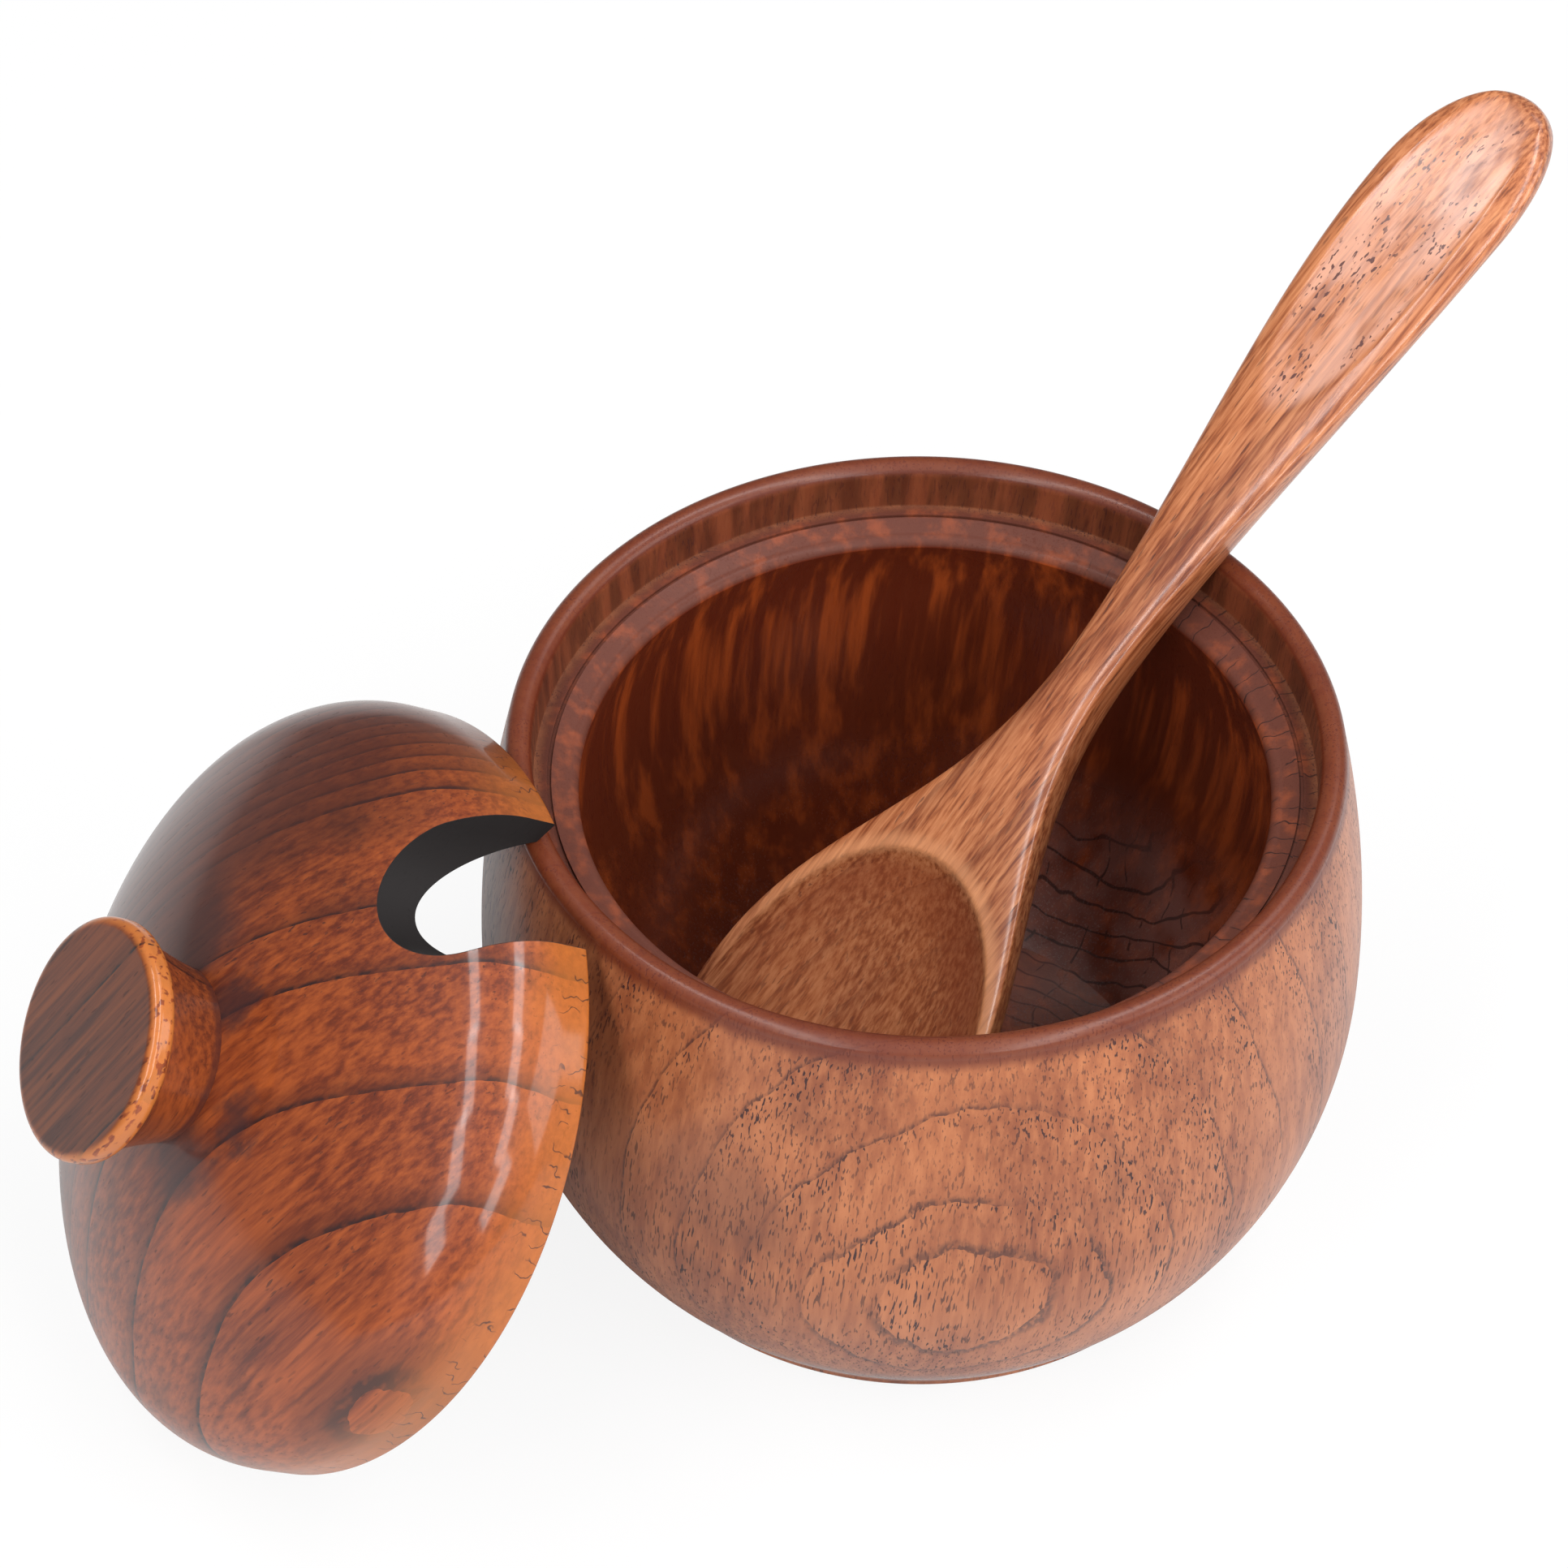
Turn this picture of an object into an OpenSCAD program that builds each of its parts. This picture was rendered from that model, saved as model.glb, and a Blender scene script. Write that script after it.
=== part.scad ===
// Turned wooden salt pot with a loose domed lid, its knob, and a carved wooden spoon.
// The lid is off: it leans on its rim against the pot, and the spoon stands in the pot.
// Origin at the centre of the pot's foot, +Z up, +Y away from the viewer.

/* [Pot] */
// Widest diameter of the pot
belly_d = 100; // [92:1:112]
// Height of the pot over its lip
pot_h = 67.4; // [62:0.2:74]
// Height of the widest place above the foot
belly_z = 35; // [31:0.1:40]
// Radius of the curve below the widest place
lower_curve_r = 54; // [48:1:64]
// Radius of the curve above the widest place
upper_curve_r = 134; // [110:1:180]
// Radius of the rounded edge round the foot
foot_round = 1.6; // [0.6:0.1:3]
// Diameter of the recess that takes the lid
seat_d = 86.8; // [82:0.2:88]
// Depth of the ledge below the lip's top
seat_depth = 5.9; // [4:0.1:9]
// Width of the level outer ring of the ledge
ring_w = 1.5; // [1:0.1:2.2]
// Width of the fine groove inside that ring
groove_w = 0.5; // [0.3:0.1:0.8]
// Depth of the fine groove
groove_t = 0.35; // [0.2:0.05:0.6]
// Diameter of the mouth inside the ledge
mouth_d = 76.8; // [70:0.2:78]
// How far the ledge falls towards the mouth
ledge_fall = 0.8; // [0.3:0.1:1.5]
// Radius of the rounded edge round the mouth
mouth_round = 1.2; // [0.6:0.1:2]
// Widest diameter of the hollow
hollow_d = 87.4; // [80:0.2:89]
// Height of the hollow's widest place above the foot
hollow_z = 33.8; // [30:0.1:38]
// Radius of the hollow's curve below its widest place
hollow_curve_r = 35; // [32:1:40]
// Thickness of the pot's floor
floor_t = 5.1; // [3.5:0.1:8]

/* [Lid] */
// Clearance all round between the lid and its recess
lid_play = 0.4; // [0.2:0.1:1]
// Height of the lid's straight edge
skirt_h = 3.6; // [2:0.1:5]
// Radius of the lid's rounded shoulder
shoulder_r = 11.4; // [8:0.1:14]
// Radius of the lid's crown
crown_r = 68.8; // [60:0.2:90]
// Width of the flat land round the lid's underside
land_w = 3.4; // [2.4:0.1:5]
// Steepness of the underside's sloping wall
dish_slope = 54; // [48:1:60]
// Radius between that wall and the level middle
dish_round = 12; // [8:1:14]
// Thickness of the lid's middle
middle_t = 7.4; // [6.6:0.1:9]
// Width of the notch for the spoon
notch_w = 16; // [12:0.2:20]
// Depth of the notch from the rim
notch_depth = 12.4; // [10:0.2:16]

/* [Knob] */
// Diameter of the knob's head
knob_d = 26.8; // [22:0.2:32]
// Height of the knob above the lid's top
knob_h = 10.4; // [8.6:0.1:14]
// Height of the head's straight edge
head_edge = 3; // [2:0.1:4]
// Radius of the head's upper edge
head_round = 1.1; // [0.6:0.1:1.4]
// Diameter of the knob where it meets the lid
knob_foot_d = 19.4; // [16:0.2:21]
// Radius of the hollow curve of the knob's side
side_curve_r = 40; // [24:1:80]
// Diameter of the knob's tenon
tenon_d = 9; // [6:0.2:12]
// Length of the tenon in the lid
tenon_l = 4.4; // [3:0.1:5]
// Thickness of the glue line
glue_t = 0.05; // [0.03:0.01:0.15]

/* [Spoon] */
// Length of the spoon
spoon_l = 157; // [147:1:168]
// Width of the spoon's head
head_w = 38.3; // [32:0.1:41]
// Distance from the tip to the head's widest place
head_x = 21; // [18:0.5:24]
// Width of the neck
neck_w = 6.5; // [5.4:0.1:9]
// Distance from the tip to the neck
neck_x = 77.7; // [70:0.1:84]
// Width of the handle's end
pad_w = 17.9; // [14:0.1:20]
// Distance from the handle's widest place to its end
pad_end = 15.3; // [12:0.1:20]
// Height of the head's rim above the spoon's middle plane
head_over = 0.8; // [0.6:0.1:1.4]
// Depth of the head below that plane
head_under = 8.2; // [7:0.1:10]
// Depth of the head's hollow
hollow_depth = 6.6; // [4:0.1:6.8]
// Width of the rim round the hollow
rim_w = 1.3; // [1:0.1:2]
// How far the hollow runs from the widest place towards the neck
hollow_run = 27.5; // [22:0.5:32]
// Height of the handle's arch above the tip
arch_h = 5.5; // [3:0.1:8]
// Distance from the tip to the top of the arch
arch_x = 109; // [100:1:118]
// How far the handle's end drops below the arch
end_drop = 5.5; // [2:0.1:8]
// Height of the neck above the middle plane
neck_over = 1.6; // [1:0.1:3]
// Depth of the neck below it
neck_under = 6.2; // [4:0.1:8]
// Height of the handle's end above the middle plane
pad_over = 2.1; // [1.4:0.1:3]
// Depth of the handle's end below it
pad_under = 2.8; // [2:0.1:5]
// Depth of the thumb pad's recess
pad_dip = 0.5; // [0.2:0.1:0.9]

/* [Where the loose pieces rest] */
// Direction of the leaning lid from the pot
lean_turn = 201.9; // [190:0.1:215]
// How far the leaning lid stands beside that line
lean_side = -1.9; // [-8:0.1:4]
// Rise of the lid's axis above level as it leans
lean_rise = 35.3; // [30:0.1:42]
// Turn of the notch away from the top as the lid leans
notch_turn = -13.8; // [-22:0.1:22]
// Direction in which the spoon leans
spoon_turn = 40.6; // [20:0.1:70]
// How far the spoon stands beside that line
spoon_side = 1.8; // [-3:0.1:4]
// Rise of the spoon above level
spoon_rise = 40; // [37:0.1:43]
// Roll of the spoon about its own length
spoon_roll = 3.7; // [-8:0.1:8]
// Clearance between a loose piece and what it rests on
rest_gap = 0.3; // [0.2:0.05:0.5]

/* [Hidden] */
// Facets of the turned curves, of a curve drawn as points, and of the spoon's rings
turned_fn = 128;
curve_steps = 14;
ring_points = 40;
// A cut runs this far past the face that it opens
past = 2;

// Pot: outer radius at a height, on two arcs that meet upright at the widest place
belly_r = belly_d / 2;
seat_r = seat_d / 2;
mouth_r = mouth_d / 2;
function side_r(z) = z < belly_z ? arc_r(lower_curve_r, z) : arc_r(upper_curve_r, z);
function arc_r(r, z) = belly_r - r + sqrt(max(0, r * r - (z - belly_z) * (z - belly_z)));
// The lip is a bead as wide as what the recess leaves of the wall
function bead_r(n) = n == 0 ? past / 2 : (side_r(pot_h - bead_r(n - 1)) - seat_r) / 2;
lip_round = bead_r(9);
lip_z = pot_h - lip_round;
lip_r = seat_r + lip_round;
seat_z = pot_h - seat_depth;
ledge_in_r = mouth_r + mouth_round;
hollow_r = hollow_d / 2;
// The hollow's upper curve runs from its widest place to the mouth's rounded edge
mouth_z = seat_z - ledge_fall - mouth_round;
hollow_rise = mouth_z - hollow_z;
hollow_grow = hollow_r - mouth_r;
hollow_upper_r = (hollow_rise * hollow_rise + hollow_grow * hollow_grow) / (2 * hollow_grow);

// Lid: a straight edge, then a shoulder arc and a crown arc that meet smoothly
lid_r = seat_r - lid_play;
shoulder_x = lid_r - shoulder_r;
crown_z = skirt_h - sqrt(pow(crown_r - shoulder_r, 2) - shoulder_x * shoulder_x);
lid_top = crown_z + crown_r;
meet_angle = asin(shoulder_x / (crown_r - shoulder_r));
ceiling_z = lid_top - middle_t;
dish_r = lid_r - land_w;
dish_x = dish_r - (dish_round + (dish_round - ceiling_z) * -cos(dish_slope)) / sin(dish_slope);
notch_r = notch_w / 2;
notch_at = 180 + notch_turn;

// Knob, in the lid's own frame
knob_r = knob_d / 2;
knob_top = lid_top + knob_h;
knob_foot_r = knob_foot_d / 2;

// Leaning lid: it stands on its rim, and the land round its underside leans on the pot
function reach_r(z) = z < lip_z ? side_r(z) : lip_r + sqrt(max(0, pow(lip_round, 2) - pow(z - lip_z, 2)));
function in_notch(r, a) = cos(a - notch_at) > 0 && abs(r * sin(a - notch_at)) < notch_r;
function stand_at(r, a) = let (z = cos(lean_rise) * (lid_r - r * cos(a)), y = lean_side + r * sin(a))
    z < pot_h ? sqrt(max(0, pow(reach_r(z) + rest_gap, 2) - y * y)) - r * cos(a) * sin(lean_rise) : 0;
stand_off = max([for (r = [dish_r : land_w / 12 : lid_r], a = [0 : 0.5 : 359.5])
    if (!in_notch(r, a)) stand_at(r, a)]);

// Spoon: half widths along Bezier curves from the tip to the handle's end, in its own frame
pad_x = spoon_l - pad_end;
head_r = head_w / 2;
neck_r = neck_w / 2;
pad_r = pad_w / 2;
// A Bezier handle's length for a quarter ellipse, as a share of its half axis
quarter = 0.552;
// How blunt the handle's end is, and how far each curve runs on before it turns
end_blunt = 0.64;
head_runs = [0.39, 0.44];
pad_runs = [0.29, 0.37];
evenly = [for (i = [1 : curve_steps]) i / curve_steps];
from_tip = [for (t = evenly) pow(t, 1.5)];
to_end = [for (t = evenly) 1 - pow(1 - t, 1.5)];
function bezier(p, t) = pow(1 - t, 3) * p[0] + 3 * pow(1 - t, 2) * t * p[1]
    + 3 * (1 - t) * t * t * p[2] + pow(t, 3) * p[3];
function flare(x1, r1, x2, r2, runs) = let (w = x2 - x1)
    [[x1, r1], [x1 + runs[0] * w, r1], [x2 - runs[1] * w, r2], [x2, r2]];
tip_curve = [[0, 0], [0, head_r * quarter], [head_x * (1 - quarter), head_r], [head_x, head_r]];
head_curve = flare(head_x, head_r, neck_x, neck_r, head_runs);
pad_curve = flare(neck_x, neck_r, pad_x, pad_r, pad_runs);
end_curve = [[pad_x, pad_r], [pad_x + quarter * pad_end, pad_r], [spoon_l, pad_r * end_blunt], [spoon_l, 0]];
head_steps = curve_steps + 8;
plan = concat([for (t = from_tip) bezier(tip_curve, t)],
    [for (i = [1 : head_steps]) bezier(head_curve, i / head_steps)],
    [for (t = evenly) bezier(pad_curve, t)],
    [for (t = to_end) bezier(end_curve, t)]);
// Smooth step from 0 at a to 1 at b
function ease(a, b, x) = let (t = min(1, max(0, (x - a) / (b - a)))) t * t * (3 - 2 * t);
function along(head, neck, pad, x) = head + (neck - head) * ease(head_x, neck_x, x)
    + (pad - neck) * ease(neck_x, pad_x, x);
// Height of the middle plane: it rises from the tip to the top of the arch and falls again
arch_top = arch_h * pow(1 - head_x / arch_x, 2);
function mid_z(x) = x < arch_x
    ? arch_top - arch_h * pow(1 - x / arch_x, 2)
    : arch_top - end_drop * pow((x - arch_x) / (spoon_l - arch_x), 3);
// Both ends are rounded over this length, and the head's underside follows its outline at the tip
end_round = 2;
function end_k(x) = let (d = min(end_round, max(0, min(x, spoon_l - x)))) sqrt(1 - pow(1 - d / end_round, 2));
function tip_k(x) = x < head_x ? sqrt(1 - pow(1 - x / head_x, 2)) : 1;
function over(x) = along(head_over, neck_over, pad_over, x) * end_k(x);
function under(x) = along(head_under, neck_under, pad_under, x) * end_k(x) * tip_k(x);
// The head's hollow: half an ellipse towards the tip and half an ellipse towards the neck
hollow_side_r = head_r - rim_w;
function dish(x, y) = let (
    run = x < head_x ? head_x - rim_w : hollow_run,
    k = 1 - pow((x - head_x) / run, 2) - pow(y / hollow_side_r, 2)) k > 0 ? hollow_depth * pow(k, 0.8) : 0;
// The thumb pad's recess: a long ellipse
dip_run = pad_end * 1.6;
dip_x = spoon_l - pad_end - dip_run / 4;
function dip(x, y) = let (
    k = 1 - pow((x - dip_x) / dip_run, 2) - pow(y / (pad_r * 0.72), 2)) k > 0 ? pad_dip * pow(k, 0.6) : 0;
// One ring of the spoon, squarer than an ellipse
square_k = 0.72;
function bulge(v) = sign(v) * pow(abs(v), square_k);
function ring(x, r) = [for (i = [0 : ring_points - 1]) let (
    a = 360 * (i + 0.5) / ring_points,
    y = r * bulge(cos(a)),
    up = bulge(sin(a)),
    z = up > 0 ? over(x) * up - dish(x, y) - dip(x, y) : under(x) * up) [x, y, mid_z(x) + z]];

// Resting spoon: a point of it as it leans, before the spoon is moved out along the lean and up
function leant(p) = let (
    y = p[1] * cos(spoon_roll) - p[2] * sin(spoon_roll),
    z = p[1] * sin(spoon_roll) + p[2] * cos(spoon_roll))
    [p[0] * cos(spoon_rise) - z * sin(spoon_rise), y + spoon_side, p[0] * sin(spoon_rise) + z * cos(spoon_rise)];
// Its lowest point is just over the pot's floor
spoon_up = floor_t + rest_gap - min([for (p = plan) for (q = ring(p[0], p[1])) leant(q)[2]]);
// Its handle is just over the pot's lip, tried at close steps along the handle
clear_r = lip_round + rest_gap;
lean_steps = 160;
spoon_out = min([for (i = [1 : lean_steps]) let (p = bezier(pad_curve, i / lean_steps))
    for (q = ring(p[0], p[1])) let (s = leant(q), z = s[2] + spoon_up - lip_z)
        if (abs(z) < clear_r) sqrt(pow(lip_r - sqrt(clear_r * clear_r - z * z), 2) - s[1] * s[1]) - s[0]]);

// An arc as points, for a profile
function arc(x, y, r, a1, a2) = [for (i = [0 : curve_steps]) let (a = a1 + (a2 - a1) * i / curve_steps)
    [x + r * cos(a), y + r * sin(a)]];

// The part of a circle, centred at x on the height z, that lies between two heights
module bow(x, z, r, low, high) {
    intersection() {
        translate([x, z]) circle(r, $fn = turned_fn);
        translate([0, low]) square([belly_r + past, high - low]);
    }
}

module bowl_outside() {
    foot_r = side_r(foot_round) - foot_round;
    translate([0, 0]) square([foot_r, foot_round]);
    // The foot's edge and the side run on past each other, so that they cross
    translate([foot_r, foot_round]) intersection() {
        circle(foot_round, $fn = turned_fn);
        translate([0, -2 * foot_round]) square(2.3 * foot_round);
    }
    bow(belly_r - lower_curve_r, belly_z, lower_curve_r, 0.7 * foot_round, belly_z);
    bow(belly_r - upper_curve_r, belly_z, upper_curve_r, belly_z, lip_z);
    // The side runs on a little into the lip's bead
    intersection() {
        bow(belly_r - upper_curve_r, belly_z, upper_curve_r, belly_z, lip_z + 0.3 * lip_round);
        translate([lip_r, 0]) square([belly_r, pot_h]);
    }
    translate([lip_r, lip_z]) circle(lip_round, $fn = turned_fn);
}

module bowl_inside() {
    // Recess for the lid, with the fine groove and the fall of the ledge
    translate([0, seat_z]) square([seat_r, pot_h]);
    polygon([[0, seat_z + past], [0, seat_z - ledge_fall], [ledge_in_r, seat_z - ledge_fall],
        [seat_r - ring_w - groove_w, seat_z], [seat_r - ring_w - groove_w, seat_z - groove_t],
        [seat_r - ring_w, seat_z - groove_t], [seat_r - ring_w, seat_z + past]]);
    // Rounded edge of the mouth, which crosses the hollow's upper curve
    difference() {
        translate([0, mouth_z - 0.3 * mouth_round]) square([ledge_in_r, 1.3 * mouth_round]);
        translate([ledge_in_r, mouth_z]) circle(mouth_round, $fn = turned_fn);
    }
    // Hollow
    bow(hollow_r - hollow_upper_r, hollow_z, hollow_upper_r, hollow_z, mouth_z + 0.3 * mouth_round);
    bow(hollow_r - hollow_curve_r, hollow_z, hollow_curve_r, floor_t, hollow_z);
}

module bowl() {
    color("peru") rotate_extrude($fn = turned_fn) difference() {
        bowl_outside();
        bowl_inside();
    }
}

// Moves a piece from the lid's own frame to where the lid leans
module leaning() {
    rotate([0, 0, lean_turn]) translate([stand_off, lean_side, lid_r * cos(lean_rise)])
        rotate([0, 90 - lean_rise, 0]) children();
}

module lid_section() {
    difference() {
        union() {
            square([lid_r, skirt_h]);
            polygon(concat([[0, 0], [0, skirt_h]], arc(shoulder_x, skirt_h, shoulder_r, 0, 90 - meet_angle),
                arc(0, crown_z, crown_r, 90 - meet_angle, 90)));
        }
        polygon(concat([[0, -past], [dish_r + past / tan(dish_slope), -past]],
            arc(dish_x, ceiling_z - dish_round, dish_round, 90 - dish_slope, 90), [[0, ceiling_z]]));
    }
}

module lid() {
    color("sienna") leaning() difference() {
        rotate_extrude($fn = turned_fn) lid_section();
        // Notch for the spoon, cut along the lid's axis
        rotate([0, 0, notch_at]) translate([lid_r - notch_depth + notch_r, 0, -past]) {
            cylinder(r = notch_r, h = lid_top + past * 2, $fn = turned_fn);
            translate([0, -notch_r, 0]) cube([lid_r, notch_w, lid_top + past * 2]);
        }
        // Blind hole for the knob's tenon
        translate([0, 0, lid_top - tenon_l - glue_t]) cylinder(d = tenon_d + 2 * glue_t, h = tenon_l + past, $fn = turned_fn);
    }
}

// Knob: a disc head with a rounded upper edge on a waisted side, seated on the lid's crown
module knob_section() {
    edge_z = knob_top - head_edge;
    waist_z = lid_top - knob_foot_r * knob_foot_r / (2 * crown_r);
    chord = [knob_r - head_round - knob_foot_r, edge_z - waist_z];
    half = norm(chord) / 2;
    sag = sqrt(side_curve_r * side_curve_r - half * half);
    away = [chord[1], -chord[0]] / norm(chord);
    centre = [knob_foot_r, waist_z] + chord / 2 + away * sag;
    a1 = atan2(waist_z - centre[1], knob_foot_r - centre[0]);
    a2 = atan2(edge_z - centre[1], knob_r - head_round - centre[0]);
    polygon(concat([[0, knob_top], [0, lid_top - past], [knob_foot_r, lid_top - past]],
        arc(centre[0], centre[1], side_curve_r, a1 < 0 ? a1 + 360 : a1, a2 < 0 ? a2 + 360 : a2),
        arc(knob_r - head_round, edge_z + head_round, head_round, -90, 0),
        arc(knob_r - head_round, knob_top - head_round, head_round, 0, 90)));
}

module knob() {
    color("saddlebrown") leaning() {
        difference() {
            rotate_extrude($fn = turned_fn) knob_section();
            translate([0, 0, crown_z]) sphere(crown_r + glue_t, $fn = turned_fn);
        }
        translate([0, 0, lid_top - tenon_l]) cylinder(d = tenon_d, h = tenon_l + knob_h / 2, $fn = turned_fn);
    }
}

module spoon() {
    // The last point of the plan closes the handle's end, as the tip's point closes the head
    stations = len(plan) - 1;
    points = concat([for (i = [0 : stations - 1]) each ring(plan[i][0], plan[i][1])],
        [[0, 0, mid_z(0)], [spoon_l, 0, mid_z(spoon_l)]]);
    tip = stations * ring_points;
    sides = [for (i = [0 : stations - 2], j = [0 : ring_points - 1]) let (
        a = i * ring_points + j,
        b = i * ring_points + (j + 1) % ring_points) each [
            [a, b, b + ring_points], [a, b + ring_points, a + ring_points]]];
    tip_fan = [for (j = [0 : ring_points - 1]) [tip, (j + 1) % ring_points, j]];
    end_fan = [for (j = [0 : ring_points - 1]) let (first = (stations - 1) * ring_points)
        [tip + 1, first + j, first + (j + 1) % ring_points]];
    color("chocolate") rotate([0, 0, spoon_turn]) translate([spoon_out, spoon_side, spoon_up])
        rotate([0, -spoon_rise, 0]) rotate([spoon_roll, 0, 0])
            polyhedron(points, concat(sides, tip_fan, end_fan), convexity = 4);
}

bowl();
lid();
knob();
spoon();
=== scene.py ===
# Wooden salt pot with a loose lid and a spoon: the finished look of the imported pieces
import math
import bpy
import numpy as np
from mathutils import Matrix


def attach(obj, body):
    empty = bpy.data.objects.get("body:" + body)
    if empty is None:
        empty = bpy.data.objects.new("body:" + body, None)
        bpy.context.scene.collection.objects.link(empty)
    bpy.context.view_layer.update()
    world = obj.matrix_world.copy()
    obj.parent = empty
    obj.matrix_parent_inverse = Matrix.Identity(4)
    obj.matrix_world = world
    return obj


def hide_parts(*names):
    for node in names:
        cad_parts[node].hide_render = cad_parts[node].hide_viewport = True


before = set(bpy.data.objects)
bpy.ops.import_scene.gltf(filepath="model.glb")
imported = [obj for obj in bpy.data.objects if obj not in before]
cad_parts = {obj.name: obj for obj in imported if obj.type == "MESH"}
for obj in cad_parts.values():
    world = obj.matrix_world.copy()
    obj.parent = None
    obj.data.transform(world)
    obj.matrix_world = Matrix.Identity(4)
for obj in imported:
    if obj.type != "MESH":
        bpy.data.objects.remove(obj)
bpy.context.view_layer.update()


# Points of an arc: centre + radius * (cos a, sin a), a from one angle to the other in degrees
def arcPoints(x, z, radius, start, stop, count):
    a = np.radians(np.linspace(start, stop, count))
    return np.stack([x + radius * np.cos(a), z + radius * np.sin(a)], axis=1)


# Points of a straight line, ends included, closer together near both ends: t = (1 - cos(pi u)) / 2
def linePoints(a, b, count):
    t = (1 - np.cos(np.pi * np.linspace(0, 1, count))) / 2
    return np.array(a) + t[:, None] * (np.array(b) - np.array(a))


# Faces between rows of points round an axis: point n of a row meets point n + 1 of the next row,
# and a fan to one last point closes each end
def ringFaces(rows, count):
    i, j = np.meshgrid(np.arange(rows - 1), np.arange(count), indexing="ij")
    k = (j + 1) % count
    quads = np.stack([i * count + j, i * count + k, (i + 1) * count + k, (i + 1) * count + j], axis=-1)
    j = np.arange(count)
    k = (j + 1) % count
    last = (rows - 1) * count
    first = np.stack([np.full(count, rows * count), k, j], axis=-1)
    final = np.stack([np.full(count, rows * count + 1), last + j, last + k], axis=-1)
    return quads.reshape(-1, 4).tolist() + first.tolist() + final.tolist()


# A turned surface: point(i, j) = (r_i cos a_j, r_i sin a_j, z_i), closed at both ends on the axis
def turnedShape(profile, segments):
    moved = np.abs(np.diff(profile, axis=0)).max(axis=1) > 1e-6  # a point that comes twice is left out
    profile = profile[np.r_[True, moved]]
    ring = profile[1:-1]
    a = np.linspace(0, 2 * np.pi, segments, endpoint=False)
    x = ring[:, 0, None] * np.cos(a)
    y = ring[:, 0, None] * np.sin(a)
    z = np.repeat(ring[:, 1, None], segments, axis=1)
    points = np.stack([x, y, z], axis=-1).reshape(-1, 3)
    ends = np.array([[0, 0, profile[0, 1]], [0, 0, profile[-1, 1]]])
    return np.concatenate([points, ends]), ringFaces(len(ring), segments)


# Smooth faces, sharp again along edges where two faces meet at more than the angle in degrees
def smoothed(mesh, sharpAngle):
    mesh.polygons.foreach_set("use_smooth", np.ones(len(mesh.polygons), dtype=bool))
    mesh.set_sharp_from_angle(angle=math.radians(sharpAngle))
    mesh.update()


# An object of the scene that holds the given data
def linked(name, data):
    made = bpy.data.objects.new(name, data)
    bpy.context.scene.collection.objects.link(made)
    return made


# A mesh object from points in millimetres and faces: metres = millimetres * 0.001
def meshObject(name, points, faces, sharpAngle=35):
    mesh = bpy.data.meshes.new(name)
    mesh.from_pydata((points * 0.001).tolist(), [], faces)
    smoothed(mesh, sharpAngle)
    return linked(name, mesh)


# A place beside the pot: out along a direction, then sideways from it, and up
def standingAt(turn, out, side, up):
    return np.array([out * math.cos(turn) - side * math.sin(turn),
                     out * math.sin(turn) + side * math.cos(turn), up])


# Carries points from a piece's own frame to its place: origin + axes @ point
def placed(points, place):
    origin, axes = place
    return origin + points @ axes.T


# A shader socket with arithmetic, so that masks read as formulas
class Shade:
    tree = None

    def __init__(self, socket):
        self.socket = socket

    # Any node: its type, its settings, then values or links for its sockets (i0 is the first one)
    @classmethod
    def node(cls, kind, settings=None, **sockets):
        made = cls.tree.nodes.new(kind)
        for key, value in (settings or {}).items():
            if key == "stops":
                ramp = made.color_ramp
                while len(ramp.elements) < len(value):
                    ramp.elements.new(0.5)
                for element, (position, colour) in zip(ramp.elements, value):
                    element.position = position
                    element.color = colour
            elif key == "between":
                made.color_ramp.interpolation = value
            else:
                setattr(made, key, value)
        for key, value in sockets.items():
            index = int(key[1:]) if key[1:].isdigit() and key[0] == "i" else key.replace("_", " ")
            target = made.inputs[index]
            if isinstance(value, Shade):
                cls.tree.links.new(value.socket, target)
            else:
                target.default_value = value
        return made

    @classmethod
    def maths(cls, operation, a, b=None, clamp=False):
        sockets = {"i0": a} if b is None else {"i0": a, "i1": b}
        made = cls.node("ShaderNodeMath", {"operation": operation, "use_clamp": clamp}, **sockets)
        return cls(made.outputs[0])

    def __add__(self, other):
        return Shade.maths("ADD", self, other)

    def __sub__(self, other):
        return Shade.maths("SUBTRACT", self, other)

    def __mul__(self, other):
        return Shade.maths("MULTIPLY", self, other)

    def __truediv__(self, other):
        return Shade.maths("DIVIDE", self, other)

    def __radd__(self, other):
        return Shade.maths("ADD", other, self)

    def __rsub__(self, other):
        return Shade.maths("SUBTRACT", other, self)

    def __rmul__(self, other):
        return Shade.maths("MULTIPLY", other, self)

    # 0 below low, 1 above high, smooth between; low may be the larger one
    def rise(self, low, high):
        made = Shade.node("ShaderNodeMapRange", {"interpolation_type": "SMOOTHSTEP"},
                          Value=self, From_Min=low, From_Max=high)
        return Shade(made.outputs[0])


# Noise in 0 to 1 on a vector that is stretched by three numbers, each per millimetre
def noise(vector, stretch, detail=3.0, rough=0.5, at=0.0):
    moved = Shade.node("ShaderNodeMapping", Vector=vector, Location=(at, at * 0.7, -at), Scale=stretch)
    made = Shade.node("ShaderNodeTexNoise", {"noise_dimensions": "3D"}, Vector=Shade(moved.outputs[0]),
                      Scale=1.0, Detail=detail, Roughness=rough)
    return Shade(made.outputs["Fac"])


# Colour a blended to colour b by a mask: a + mask * (b - a), with a * b for b where the mode multiplies
def blend(mask, a, b, mode="MIX"):
    made = Shade.node("ShaderNodeMix", {"data_type": "RGBA", "blend_type": mode, "clamp_factor": True},
                      i0=mask)
    for index, value in ((6, a), (7, b)):
        if isinstance(value, Shade):
            Shade.tree.links.new(value.socket, made.inputs[index])
        else:
            made.inputs[index].default_value = (*value, 1.0)
    return Shade(made.outputs[2])


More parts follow.
